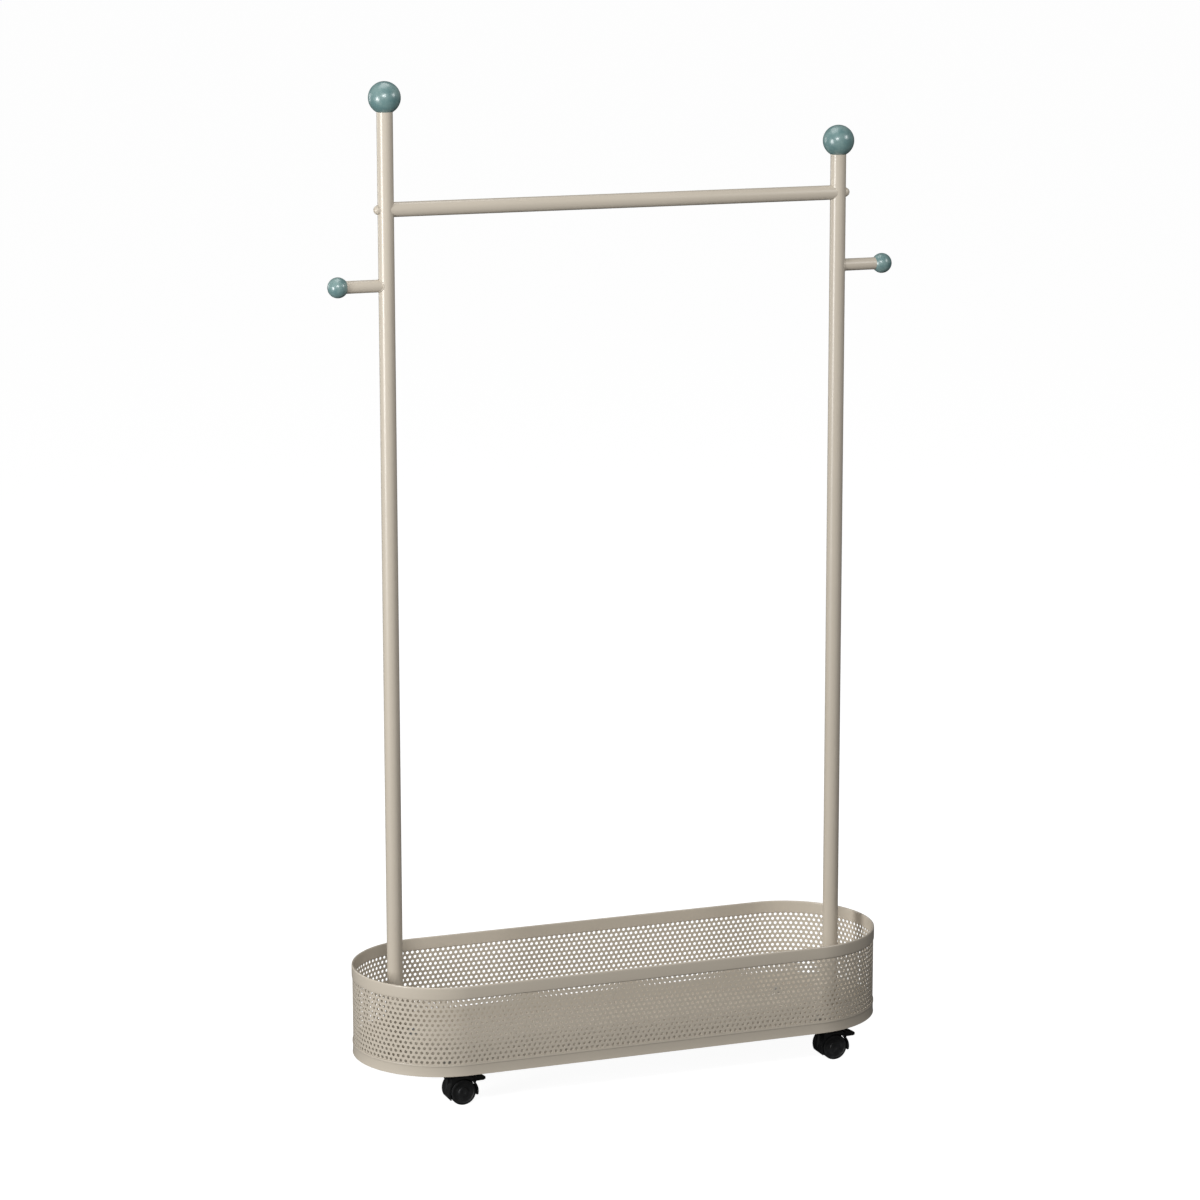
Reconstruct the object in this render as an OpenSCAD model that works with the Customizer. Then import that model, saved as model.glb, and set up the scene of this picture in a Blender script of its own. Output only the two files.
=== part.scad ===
// Freestanding garment rack: two uneven uprights, one hanging rail, two side pegs and a
// perforated round-ended basket on four braked twin-wheel casters.
// Millimetres. X runs along the basket, +Y to the rear, +Z up. The origin is on the floor
// under the middle of the basket.

/* [Frame] */
// Height of the left ball's top over the floor
left_height = 1600; // [1500:10:1800]
// Height of the right ball's top over the floor
right_height = 1512; // [1490:1:1800]
// Height of the hanging rail's centre line
rail_z = 1405; // [1350:5:1415]
// Height of the side pegs' centre line
peg_z = 1289; // [1000:1:1320]
// Distance between the uprights' centre lines
upright_span = 754; // [720:2:800]
// From an upright's centre line to the centre of its peg's ball
peg_reach = 78; // [60:1:110]

/* [Tubes and balls] */
// Outside diameter of the uprights
upright_d = 25; // [24:0.5:28]
// Outside diameter of the hanging rail
rail_d = 23; // [20:0.5:24]
// Outside diameter of the pegs
peg_d = 19.5; // [18:0.5:22]
// Wall of every tube
tube_wall = 1.2; // [1:0.1:1.5]
// Diameter of the balls on top of the uprights
top_ball_d = 50; // [44:1:60]
// Diameter of the balls on the pegs
peg_ball_d = 32; // [30:1:40]

/* [Basket] */
// Overall length of the basket
basket_l = 885; // [860:5:1000]
// Overall width of the basket, which is also the diameter of its round ends
basket_w = 286; // [270:2:340]
// Height of the basket's underside over the floor
basket_z = 60; // [58:1:62]
// Height of the basket's wall from its underside to the top of the rim
basket_h = 145; // [100:5:250]
// Height of the plain bands at the bottom and the top of the wall
band_h = 20; // [15:1:30]
// Sheet thickness of the two bands
band_t = 1.2; // [1:0.1:2]
// Sheet thickness of the perforated wall
mesh_t = 1; // [0.8:0.1:1.5]
// Thickness of the floor plate
floor_t = 2; // [1.5:0.5:3]

/* [Casters] */
// Diameter of a wheel
wheel_d = 42; // [40:1:43]
// Width over both wheels of one caster
caster_w = 36; // [34:1:40]
// From the swivel's centre line to the axle
trail = 20; // [18:1:21]
// From the middle of the basket to a swivel's centre line, along the basket
stem_x = 320; // [280:5:330]
// From the middle of the basket to a swivel's centre line, across the basket
stem_y = 90; // [80:1:95]
// Turn of the brake lever from up to pressed, in degrees
lever_travel = 18; // [12:1:18]

/* [Hidden] */
$fn = 96;
frame_grey = "#c2b8ab";
ball_teal = "#7c9a9c";
zinc = "#b9bcc0";
nylon_black = "#202124";

// Clearances: a running fit on a radius, a bolt in its hole, and two moving parts side by side
run_gap = 0.05;
hole_gap = 0.3;
side_gap = 0.3;
m8_r = 4;
m6_r = 3;
eps = 0.1;

upright_x = upright_span / 2;
upright_r = upright_d / 2;
rail_r = rail_d / 2;
peg_r = peg_d / 2;
top_ball_r = top_ball_d / 2;
peg_ball_r = peg_ball_d / 2;
floor_top = basket_z + floor_t;
rim_top = basket_z + basket_h;

// A ball is cut flat where its section is as wide as the tube that it stands on
top_seat = sqrt(top_ball_r ^ 2 - upright_r ^ 2);
peg_seat = sqrt(peg_ball_r ^ 2 - peg_r ^ 2);
left_ball_z = left_height - top_ball_r;
right_ball_z = right_height - top_ball_r;

// Basket wall, from the outside in: band, mesh, inner leg of the rim
mesh_l = basket_l - 2 * band_t;
mesh_w = basket_w - 2 * band_t;
mesh_in_l = mesh_l - 2 * mesh_t;
mesh_in_w = mesh_w - 2 * mesh_t;
rim_in_l = mesh_in_l - 2 * band_t;
rim_in_w = mesh_in_w - 2 * band_t;
mesh_top = rim_top - band_t;
straight_l = basket_l - basket_w;
// Butt seam in the middle of each round end, where two rolled quarters meet
seam_gap = 0.2;

// Bolts and plugs
plug_len = 20;
top_stud_reach = 16;
peg_stud_reach = 12;
saddle_d = 15;
saddle_t = 1.5;
dome_r = 7;
dome_h = 5.5;
socket_r = 2.9;
socket_depth = 3;
washer_t = 1.5;
washer_r = 9;
hex_m8_r = 7.5;
head_h = 5.5;
nut_h = 6.5;

// Caster, in its own frame: the swivel's centre line at x = 0, the axle at x = trail
wheel_r = wheel_d / 2;
hood_in_r = wheel_r + 1.2;
hood_r = hood_in_r + 2.6;
web_w = 12;
wheel_w = (caster_w - web_w) / 2 - 2 * side_gap;
axle_r = 2.5;
axle_len = caster_w - 4;
deck_top = wheel_d + 4;
deck_x = trail + 15;
// Boss that the stem turns in, with a cone under it down to the middle web's width
boss_r = 9;
boss_cone_h = 5;
boss_top = basket_z - 6.5;
flange_bottom = boss_top + side_gap;
flange_r = 8.5;
stem_bottom = 28;
ring_z = 36;
ring_h = 1;
ring_r = 4.6;
groove_r = 3.4;

// Brake lever: its pivot lies just outside the hood, up and out from the axle
pivot_x = trail + 21.5;
pivot_z = wheel_r + 18.5;
pin_r = 1.5;
lever_hub_r = 3.2;
lever_w = 17.4;
ear_t = 3;
ear_r = 4;
ear_in = lever_w / 2 + side_gap;
lever_tip_x = trail + 42;
lever_tip_t = 2.6;
// The toes' faces lie this far from the pin, and stop short of the treads at full travel
toe_arm = 6;
toe_gap = 0.4;
toe_clear_r = wheel_r + toe_gap + toe_arm * lever_travel * PI / 180;

LEFT = -1;
RIGHT = 1;
SIDES = [LEFT, RIGHT];
// Name and the signs of x and y of each corner
CORNERS = [
  ["front_left", -1, -1],
  ["front_right", 1, -1],
  ["rear_left", -1, 1],
  ["rear_right", 1, 1]
];
CASTER_PARTS = [
  "hood", "stem", "axle", "outer_wheel", "inner_wheel", "brake_lever", "lever_pin"
];
FRAME_PARTS = [
  "floor_plate", "lower_band_sides", "lower_band_ends", "wall_sides", "wall_ends",
  "rim_sides", "rim_ends",
  "left_upright", "right_upright", "foot_plugs", "foot_bolts", "foot_washers",
  "hanging_rail", "rail_plugs", "rail_bolts", "saddle_washers",
  "left_peg", "right_peg", "peg_plugs", "peg_studs", "left_peg_ball", "right_peg_ball",
  "top_plugs", "top_studs", "left_top_ball", "right_top_ball",
  "stem_nuts", "stem_washers", "grip_rings"
];

// ---- shapes shared by several parts ----

// Round-ended oblong, l long and w wide
module oblong(l, w) {
  square([l - w, w], center = true);
  for (s = SIDES)
    translate([s * (l - w) / 2, 0])
      circle(d = w);
}

// Wall of a round-ended oblong between an outer and an inner outline
module oblong_wall(l, w, l_in, w_in, h) {
  linear_extrude(h)
    difference() {
      oblong(l, w);
      oblong(l_in, w_in);
    }
}

// Tube or rod standing on z = 0
module tube(r, wall, h) {
  difference() {
    cylinder(r = r, h = h);
    translate([0, 0, -eps])
      cylinder(r = r - wall, h = h + 2 * eps);
  }
}

// Disc or plug with a hole down its middle
module bored(r, hole_r, h) {
  tube(r, r - hole_r, h);
}

// Turns a shape built along +Z so that it points along +X or -X
module along_x(side) {
  rotate([0, side * 90, 0])
    children();
}

module at_both_uprights(z) {
  for (s = SIDES)
    translate([s * upright_x, 0, z])
      children();
}

// One copy under each corner of the basket
module at_each_stem(z) {
  for (c = CORNERS)
    translate([c[1] * stem_x, c[2] * stem_y, z])
      children();
}

// Rod along Y, centred on y = 0
module cross_rod(x, z, r, len) {
  translate([x, 0, z])
    rotate([90, 0, 0])
      cylinder(r = r, h = len, center = true);
}

// Outline in x and z carried across the caster, centred on y = 0
module across(w) {
  rotate([90, 0, 0])
    linear_extrude(w, center = true)
      children();
}

module hex_bolt(shank_r, shank_len) {
  cylinder(r = shank_r, h = shank_len);
  translate([0, 0, -head_h])
    cylinder(r = hex_m8_r, h = head_h, $fn = 6);
}

// ---- basket ----

module floor_plate() {
  color(frame_grey)
    difference() {
      translate([0, 0, basket_z])
        linear_extrude(floor_t)
          oblong(mesh_l, mesh_w);
      at_each_stem(basket_z - eps)
        cylinder(r = m8_r + hole_gap, h = floor_t + 2 * eps);
      at_both_uprights(basket_z - eps)
        cylinder(r = m8_r + hole_gap, h = floor_t + 2 * eps);
    }
}

// Keeps the two straight sides of a wall that runs round the basket
module straight_sides() {
  intersection() {
    children();
    cube([straight_l, 2 * basket_w, 4 * basket_h], center = true);
  }
}

// Keeps the four rolled quarters of a wall that runs round the basket
module rolled_ends() {
  for (c = CORNERS)
    intersection() {
      children();
      translate([c[1] * (straight_l + basket_w) / 2, c[2] * (seam_gap + basket_w) / 2, 0])
        cube([basket_w, basket_w, 4 * basket_h], center = true);
    }
}

// Band round the floor plate
module lower_band() {
  translate([0, 0, basket_z])
    oblong_wall(basket_l, basket_w, mesh_l, mesh_w, band_h);
}

// The perforated wall, kept plain here
module wall() {
  translate([0, 0, floor_top])
    oblong_wall(mesh_l, mesh_w, mesh_in_l, mesh_in_w, mesh_top - floor_top);
}

// Channel folded over the wall's top edge
module rim() {
  translate([0, 0, rim_top - band_h])
    difference() {
      oblong_wall(basket_l, basket_w, rim_in_l, rim_in_w, band_h);
      translate([0, 0, -eps])
        oblong_wall(mesh_l, mesh_w, mesh_in_l, mesh_in_w, band_h - band_t + eps);
    }
}

module lower_band_sides() {
  color(frame_grey)
    straight_sides()
      lower_band();
}

module lower_band_ends() {
  color(frame_grey)
    rolled_ends()
      lower_band();
}

module wall_sides() {
  color(frame_grey)
    straight_sides()
      wall();
}

module wall_ends() {
  color(frame_grey)
    rolled_ends()
      wall();
}

module rim_sides() {
  color(frame_grey)
    straight_sides()
      rim();
}

module rim_ends() {
  color(frame_grey)
    rolled_ends()
      rim();
}

// ---- uprights and their feet ----

module upright(side, top_z) {
  color(frame_grey)
    difference() {
      translate([side * upright_x, 0, floor_top])
        tube(upright_r, tube_wall, top_z - floor_top);
      translate([side * upright_x, 0, rail_z])
        rotate([0, 90, 0])
          cylinder(r = m8_r + hole_gap, h = 2 * upright_d, center = true);
    }
}

module left_upright() {
  upright(LEFT, left_ball_z - top_seat);
}

module right_upright() {
  upright(RIGHT, right_ball_z - top_seat);
}

module foot_plugs() {
  color(zinc)
    at_both_uprights(floor_top)
      bored(upright_r - tube_wall, m8_r, plug_len);
}

module foot_washers() {
  color(zinc)
    at_both_uprights(basket_z - washer_t)
      bored(washer_r, m8_r + hole_gap, washer_t);
}

module foot_bolts() {
  color(zinc)
    at_both_uprights(basket_z - washer_t)
      hex_bolt(m8_r - run_gap, washer_t + floor_t + plug_len - 2);
}

// ---- hanging rail ----

module hanging_rail() {
  color(frame_grey)
    difference() {
      translate([-upright_x, 0, rail_z])
        along_x(1)
          tube(rail_r, tube_wall, upright_span);
      at_both_uprights(rail_z - rail_d)
        cylinder(r = upright_r, h = 2 * rail_d);
    }
}

module rail_plugs() {
  color(zinc)
    for (s = SIDES)
      translate([s * (upright_x - upright_r - side_gap), 0, rail_z])
        along_x(-s)
          bored(rail_r - tube_wall, m8_r, plug_len);
}

// Washers cut to sit on the round of the upright
module saddle_washers() {
  color(frame_grey)
    difference() {
      for (s = SIDES)
        translate([s * (upright_x + upright_r / 2), 0, rail_z])
          along_x(s)
            bored(saddle_d / 2, m8_r + hole_gap, upright_r / 2 + saddle_t);
      at_both_uprights(rail_z - saddle_d)
        cylinder(r = upright_r, h = 2 * saddle_d);
    }
}

// Dome-headed bolts through the uprights into the rail's plugs
module rail_bolts() {
  dome_sphere_r = (dome_r ^ 2 + dome_h ^ 2) / (2 * dome_h);
  shank_len = saddle_t + upright_d + plug_len - 4;
  color(frame_grey)
    for (s = SIDES)
      translate([s * (upright_x + upright_r + saddle_t), 0, rail_z])
        along_x(s)
          difference() {
            union() {
              intersection() {
                translate([0, 0, dome_h - dome_sphere_r])
                  sphere(r = dome_sphere_r);
                cylinder(r = dome_r + eps, h = dome_h + eps);
              }
              translate([0, 0, -shank_len])
                cylinder(r = m8_r - run_gap, h = shank_len + eps);
            }
            translate([0, 0, dome_h - socket_depth])
              cylinder(r = socket_r, h = socket_depth + eps, $fn = 6);
          }
}

// ---- side pegs ----

// Peg tube, notched to the round of the upright and welded to it
module peg(side) {
  color(frame_grey)
    difference() {
      translate([side * upright_x, 0, peg_z])
        along_x(side)
          tube(peg_r, tube_wall, peg_reach - peg_seat);
      at_both_uprights(peg_z - peg_d)
        cylinder(r = upright_r, h = 2 * peg_d);
    }
}

module left_peg() {
  peg(LEFT);
}

module right_peg() {
  peg(RIGHT);
}

// Places a shape built along +Z at the outer end of each peg tube
module at_peg_ends() {
  for (s = SIDES)
    translate([s * (upright_x + peg_reach - peg_seat), 0, peg_z])
      along_x(s)
        children();
}

module peg_plugs() {
  color(zinc)
    at_peg_ends()
      translate([0, 0, -plug_len])
        bored(peg_r - tube_wall, m6_r, plug_len);
}

module peg_studs() {
  color(zinc)
    at_peg_ends()
      translate([0, 0, 1 - plug_len])
        cylinder(r = m6_r - run_gap, h = plug_len - 1 + peg_stud_reach);
}

// Ball cut flat at -Z where it meets its tube, with a blind hole for the stud
module ball(r, seat, hole_r, hole_depth) {
  color(ball_teal)
    difference() {
      sphere(r = r);
      translate([0, 0, -r - seat])
        cube(2 * r, center = true);
      translate([0, 0, -seat - eps])
        cylinder(r = hole_r, h = hole_depth + eps);
    }
}

module peg_ball(side) {
  translate([side * (upright_x + peg_reach), 0, peg_z])
    along_x(side)
      ball(peg_ball_r, peg_seat, m6_r, peg_stud_reach + 2);
}

module left_peg_ball() {
  peg_ball(LEFT);
}

module right_peg_ball() {
  peg_ball(RIGHT);
}

// ---- balls on top of the uprights ----

// Places a shape at the top end of each upright
module at_upright_tops() {
  translate([-upright_x, 0, left_ball_z - top_seat])
    children();
  translate([upright_x, 0, right_ball_z - top_seat])
    children();
}

module top_plugs() {
  color(zinc)
    at_upright_tops()
      translate([0, 0, -plug_len])
        bored(upright_r - tube_wall, m8_r, plug_len);
}

module top_studs() {
  color(zinc)
    at_upright_tops()
      translate([0, 0, 1 - plug_len])
        cylinder(r = m8_r - run_gap, h = plug_len - 1 + top_stud_reach);
}

module left_top_ball() {
  translate([-upright_x, 0, left_ball_z])
    ball(top_ball_r, top_seat, m8_r, top_stud_reach + 2);
}

module right_top_ball() {
  translate([upright_x, 0, right_ball_z])
    ball(top_ball_r, top_seat, m8_r, top_stud_reach + 2);
}

// ---- casters ----

module stem_washers() {
  color(zinc)
    at_each_stem(floor_top)
      bored(washer_r, m8_r + hole_gap, washer_t);
}

module stem_nuts() {
  color(zinc)
    at_each_stem(floor_top + washer_t)
      difference() {
        cylinder(r = hex_m8_r, h = nut_h, $fn = 6);
        translate([0, 0, -eps])
          cylinder(r = m8_r, h = nut_h + 2 * eps);
      }
}

// Rings that hold the housings up on their stems
module grip_rings() {
  color(zinc)
    at_each_stem(ring_z)
      bored(ring_r, groove_r, ring_h);
}

// Threaded stem with a hexagonal flange under the floor plate
module stem() {
  top_z = floor_top + washer_t + nut_h + 2;
  color(zinc)
    difference() {
      union() {
        translate([0, 0, stem_bottom])
          cylinder(r = m8_r - run_gap, h = top_z - stem_bottom);
        translate([0, 0, flange_bottom])
          cylinder(r = flange_r, h = basket_z - flange_bottom, $fn = 6);
      }
      translate([0, 0, ring_z - run_gap])
        bored(m8_r + 1, groove_r, ring_h + 2 * run_gap);
    }
}

// Side outline of the hood: a round shell with a flat deck, open below
module hood_outline() {
  corner_r = 2;
  difference() {
    union() {
      translate([trail, wheel_r])
        circle(r = hood_r);
      translate([0, wheel_r])
        square([deck_x, deck_top - corner_r - wheel_r]);
      translate([corner_r, wheel_r])
        square([deck_x - 2 * corner_r, deck_top - wheel_r]);
      for (x = [corner_r, deck_x - corner_r])
        translate([x, deck_top - corner_r])
          circle(r = corner_r);
    }
    // sloping lower edge, which leaves the wheels' lower half bare
    polygon([
      [-trail, -wheel_r],
      [-trail, wheel_r - 13],
      [trail + 30, wheel_r - 5],
      [trail + 30, -wheel_r]
    ]);
  }
}

// Ear that holds one end of the brake lever's pin
module lever_ear() {
  across(ear_t) {
    translate([pivot_x, pivot_z])
      circle(r = ear_r);
    translate([pivot_x, pivot_z])
      rotate(atan2(pivot_z - wheel_r, pivot_x - trail) + 180)
        translate([0, -ear_r])
          square([7, 2 * ear_r]);
  }
}

module hood() {
  axle_z = wheel_r;
  color(nylon_black)
    difference() {
      union() {
        across(caster_w)
          hood_outline();
        translate([0, 0, wheel_r])
          cylinder(r = web_w / 2, h = wheel_r);
        translate([0, 0, deck_top - boss_cone_h])
          cylinder(r1 = web_w / 2, r2 = boss_r, h = boss_cone_h);
        translate([0, 0, deck_top - eps])
          cylinder(r = boss_r, h = boss_top - deck_top + eps);
        for (s = SIDES)
          translate([0, s * (ear_in + ear_t / 2), 0])
            lever_ear();
      }
      // pockets for the wheels
      for (s = SIDES)
        translate([0, s * (web_w / 2 + caster_w / 2), 0])
          cross_rod(trail, axle_z, hood_in_r, caster_w);
      // window that the brake lever reaches through
      difference() {
        across(2 * ear_in)
          translate([trail, axle_z])
            polygon([[0, 0], [60, 12], [60, 78]]);
        cross_rod(trail, axle_z, wheel_r - 0.5, 2 * caster_w);
      }
      cross_rod(trail, axle_z, axle_r, caster_w);
      cross_rod(pivot_x, pivot_z, pin_r, caster_w);
      translate([0, 0, stem_bottom - 0.5])
        cylinder(r = m8_r, h = basket_z);
      translate([0, 0, ring_z - side_gap])
        cylinder(r = ring_r + run_gap, h = ring_h + 2 * side_gap);
    }
}

module axle() {
  color(zinc)
    cross_rod(trail, wheel_r, axle_r, axle_len);
}

module lever_pin() {
  color(nylon_black)
    cross_rod(pivot_x, pivot_z, pin_r, 2 * (ear_in + ear_t));
}

// Wheel turned round its axle, with a rounded tread and a dished outer face
module wheel(side) {
  inner_round = 1.5;
  outer_round = 3;
  hub_r = 7;
  dish_depth = 0.8;
  color(nylon_black)
    translate([trail, side * (web_w / 2 + side_gap), wheel_r])
      rotate([-side * 90, 0, 0])
        difference() {
          rotate_extrude()
            union() {
              square([wheel_r - outer_round, wheel_w]);
              translate([0, inner_round])
                square([wheel_r, wheel_w - inner_round - outer_round]);
              translate([wheel_r - inner_round, inner_round])
                circle(r = inner_round);
              translate([wheel_r - outer_round, wheel_w - outer_round])
                circle(r = outer_round);
            }
          translate([0, 0, -eps])
            cylinder(r = axle_r + run_gap, h = axle_len / 2 - web_w / 2 + eps);
          translate([0, 0, wheel_w - dish_depth])
            bored(wheel_r - outer_round - 1, hub_r, dish_depth + eps);
        }
}

// Lever drawn in its raised position; pressing its tongue turns it down about the pin
module brake_lever() {
  toe_t = 2.2;
  color(nylon_black)
    difference() {
      union() {
        cross_rod(pivot_x, pivot_z, lever_hub_r, lever_w);
        // tongue: a side outline cut to a rounded plan
        intersection() {
          across(lever_w)
            polygon([
              [pivot_x, pivot_z + lever_hub_r],
              [pivot_x + 12, pivot_z + 2.2],
              [lever_tip_x, pivot_z - 2],
              [lever_tip_x, pivot_z - 2 - lever_tip_t],
              [pivot_x + 3, pivot_z - 5],
              [pivot_x, pivot_z - lever_hub_r]
            ]);
          translate([0, 0, pivot_z - 20])
            linear_extrude(40) {
              translate([pivot_x - 10, -lever_w / 2])
                square([lever_tip_x - pivot_x + 10 - lever_w / 3, lever_w]);
              translate([lever_tip_x - lever_w / 2, 0])
                circle(d = lever_w);
            }
        }
        // two toes that press on the wheels' treads
        intersection() {
          across(lever_w)
            translate([pivot_x, pivot_z])
              polygon([[-2.6, -1.8], [2.6, -1.8], [3, -5], [1.2, -8.2], [-0.8, -7.4]]);
          for (s = SIDES)
            translate([pivot_x, s * (lever_w - toe_t) / 2, pivot_z])
              cube([20, toe_t, 20], center = true);
        }
      }
      cross_rod(pivot_x, pivot_z, pin_r + run_gap, caster_w);
      cross_rod(trail, wheel_r, toe_clear_r, 2 * caster_w);
    }
}

// Draws one caster part at the corner that its node's name starts with
module caster_part(corner, part) {
  side = corner[2];
  translate([corner[1] * stem_x, corner[2] * stem_y, 0]) {
    if (part == "hood") hood();
    if (part == "stem") stem();
    if (part == "axle") axle();
    if (part == "outer_wheel") wheel(side);
    if (part == "inner_wheel") wheel(-side);
    if (part == "brake_lever") brake_lever();
    if (part == "lever_pin") lever_pin();
  }
}

floor_plate();
lower_band_sides();
lower_band_ends();
wall_sides();
wall_ends();
rim_sides();
rim_ends();
left_upright();
right_upright();
foot_plugs();
foot_bolts();
foot_washers();
hanging_rail();
rail_plugs();
rail_bolts();
saddle_washers();
left_peg();
right_peg();
peg_plugs();
peg_studs();
left_peg_ball();
right_peg_ball();
top_plugs();
top_studs();
left_top_ball();
right_top_ball();
stem_nuts();
stem_washers();
grip_rings();
for (c = CORNERS)
  for (p = CASTER_PARTS)
    caster_part(c, p);
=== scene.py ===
import math

import bmesh
import bpy
from mathutils import Matrix, Vector


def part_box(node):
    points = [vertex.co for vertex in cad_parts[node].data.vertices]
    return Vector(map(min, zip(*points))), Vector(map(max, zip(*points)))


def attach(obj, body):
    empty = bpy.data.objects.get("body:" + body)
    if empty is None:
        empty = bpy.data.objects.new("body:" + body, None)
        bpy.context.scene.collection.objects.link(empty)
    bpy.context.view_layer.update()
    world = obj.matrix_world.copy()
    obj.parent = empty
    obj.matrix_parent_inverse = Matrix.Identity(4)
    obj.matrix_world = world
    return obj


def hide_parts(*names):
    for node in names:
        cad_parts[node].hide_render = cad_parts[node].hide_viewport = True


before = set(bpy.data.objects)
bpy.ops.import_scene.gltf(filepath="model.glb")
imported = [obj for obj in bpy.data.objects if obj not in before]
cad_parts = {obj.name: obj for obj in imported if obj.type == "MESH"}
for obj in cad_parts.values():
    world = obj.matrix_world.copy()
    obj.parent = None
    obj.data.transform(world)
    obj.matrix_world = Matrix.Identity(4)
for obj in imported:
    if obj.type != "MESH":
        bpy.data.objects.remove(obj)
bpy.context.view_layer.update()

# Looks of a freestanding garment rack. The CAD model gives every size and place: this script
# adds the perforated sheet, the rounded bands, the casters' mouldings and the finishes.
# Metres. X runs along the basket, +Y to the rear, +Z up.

bl_info = {
    "name": "Garment rack",
    "version": (1, 0, 0),
    "blender": (4, 5, 0),
    "location": "View3D > Sidebar > Rack",
    "description": "Builds the pieces and finishes of a garment rack round its CAD model",
    "category": "Object",
}

MM = 0.001
CORNERS = ("front_left", "front_right", "rear_left", "rear_right")

RIM_LOW, RIM_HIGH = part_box("rim_ends")
BAND_LOW, BAND_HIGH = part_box("lower_band_ends")
WALL_LOW, WALL_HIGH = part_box("wall_ends")
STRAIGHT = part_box("rim_sides")[1].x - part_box("rim_sides")[0].x

# Points closer than this are one point
MERGE = 0.005 * MM
# An edge that turns by more than this many degrees stays sharp
CREASE = 35
# Straight steps that draw a band once round the basket
BAND_STEPS = 320
# Where the lamps point, and how far the floor reaches from the middle
LAMP_AIM = (0, 0, 0.8)
FLOOR_REACH = 60


# ---- settings ----


class RackFinishes(bpy.types.PropertyGroup):
    paint: bpy.props.FloatVectorProperty(
        name="Paint", description="Powder coat on the frame and the basket",
        default=(0.500, 0.448, 0.372), subtype="COLOR", min=0, max=1)
    lacquer: bpy.props.FloatVectorProperty(
        name="Lacquer", description="Main colour of the balls",
        default=(0.108, 0.198, 0.200), subtype="COLOR", min=0, max=1)
    lacquer_cloud: bpy.props.FloatVectorProperty(
        name="Lacquer cloud", description="Second colour that drifts through the balls",
        default=(0.190, 0.285, 0.275), subtype="COLOR", min=0, max=1)
    nylon: bpy.props.FloatVectorProperty(
        name="Nylon", description="Mouldings of the casters",
        default=(0.0075, 0.0078, 0.0082), subtype="COLOR", min=0, max=1)
    zinc: bpy.props.FloatVectorProperty(
        name="Zinc", description="Plated screws, nuts and stems",
        default=(0.56, 0.57, 0.58), subtype="COLOR", min=0, max=1)


class RackBasket(bpy.types.PropertyGroup):
    hole_d: bpy.props.FloatProperty(
        name="Hole diameter", description="Diameter of a hole in the sheet",
        default=5 * MM, unit="LENGTH")
    holes_round: bpy.props.IntProperty(
        name="Holes round half", description="Holes in one row round half of the basket",
        default=119, min=10)
    hole_rows: bpy.props.IntProperty(
        name="Hole rows", description="Rows of holes between the two bands",
        default=14, min=1)
    hole_sides: bpy.props.IntProperty(
        name="Hole sides", description="Straight sides that draw one hole",
        default=16, min=6)
    row_gap: bpy.props.FloatProperty(
        name="Row spacing", description="Height from one row of holes to the next",
        default=7.58 * MM, unit="LENGTH")
    sheet: bpy.props.FloatProperty(
        name="Sheet", description="Thickness of the perforated sheet",
        default=1 * MM, unit="LENGTH")
    hem: bpy.props.FloatProperty(
        name="Hem", description="Radius of the lower band's and the rim's rolled edges",
        default=0.55 * MM, unit="LENGTH")
    crown: bpy.props.FloatProperty(
        name="Crown", description="How far the bead's face bellies out",
        default=0.6 * MM, unit="LENGTH")
    bead: bpy.props.FloatProperty(
        name="Bead", description="Height of the rolled bead along the lower band's top edge",
        default=4.6 * MM, unit="LENGTH")


class RackMouldings(bpy.types.PropertyGroup):
    soft_edge: bpy.props.FloatProperty(
        name="Soft edge", description="Radius on the casters' moulded edges",
        default=0.5 * MM, unit="LENGTH")
    turned_edge: bpy.props.FloatProperty(
        name="Turned edge", description="Radius on the edges of screws, nuts and washers",
        default=0.25 * MM, unit="LENGTH")
    weld: bpy.props.FloatProperty(
        name="Weld", description="Radius of the weld bead round each peg",
        default=1.1 * MM, unit="LENGTH")
    lever_ribs: bpy.props.IntProperty(
        name="Lever ribs", description="Grip ribs on a brake lever",
        default=4, min=1)


class RackStage(bpy.types.PropertyGroup):
    eye: bpy.props.FloatVectorProperty(
        name="Camera place", description="Where the camera stands",
        default=(-2.1846, -5.7014, 2.0092), subtype="TRANSLATION")
    aim: bpy.props.FloatVectorProperty(
        name="Camera turn", description="Camera's turn about X, Y and Z",
        default=(math.pi / 2 - 0.20013, 0.00135, -0.36179), subtype="EULER")
    lens: bpy.props.FloatProperty(
        name="Lens", description="Focal length on a 36 mm sensor", default=117.57)
    lamp_power: bpy.props.FloatProperty(
        name="Lamp power", description="Power that the lamps share out",
        default=125, unit="POWER")
    sky: bpy.props.FloatProperty(
        name="Sky", description="Brightness of the even light from all round", default=0.12)


# ---- trees of nodes ----


class Value:
    """A number's socket in a tree, which can be used in plain arithmetic."""

    def __init__(self, graph, socket):
        self.graph = graph
        self.socket = socket

    def _math(self, operation, first, second):
        settings = {"operation": operation}
        return self.graph.node("ShaderNodeMath", settings, {0: first, 1: second})[0]

    def __add__(self, other):
        return self._math("ADD", self, other)

    def __radd__(self, other):
        return self._math("ADD", other, self)

    def __sub__(self, other):
        return self._math("SUBTRACT", self, other)

    def __rsub__(self, other):
        return self._math("SUBTRACT", other, self)

    def __mul__(self, other):
        return self._math("MULTIPLY", self, other)

    def __rmul__(self, other):
        return self._math("MULTIPLY", other, self)

    def __truediv__(self, other):
        return self._math("DIVIDE", self, other)

    def __pow__(self, other):
        return self._math("POWER", self, other)

    def __mod__(self, other):
        return self._math("MODULO", self, other)

    def __gt__(self, other):
        return self._math("GREATER_THAN", self, other)

    def at_least(self, other):
        return self._math("MAXIMUM", self, other)

    def at_most(self, other):
        return self._math("MINIMUM", self, other)

    def apply(self, operation):
        """A function of this number alone, such as its sine."""
        return self.graph.node("ShaderNodeMath", {"operation": operation}, {0: self})[0]


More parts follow.
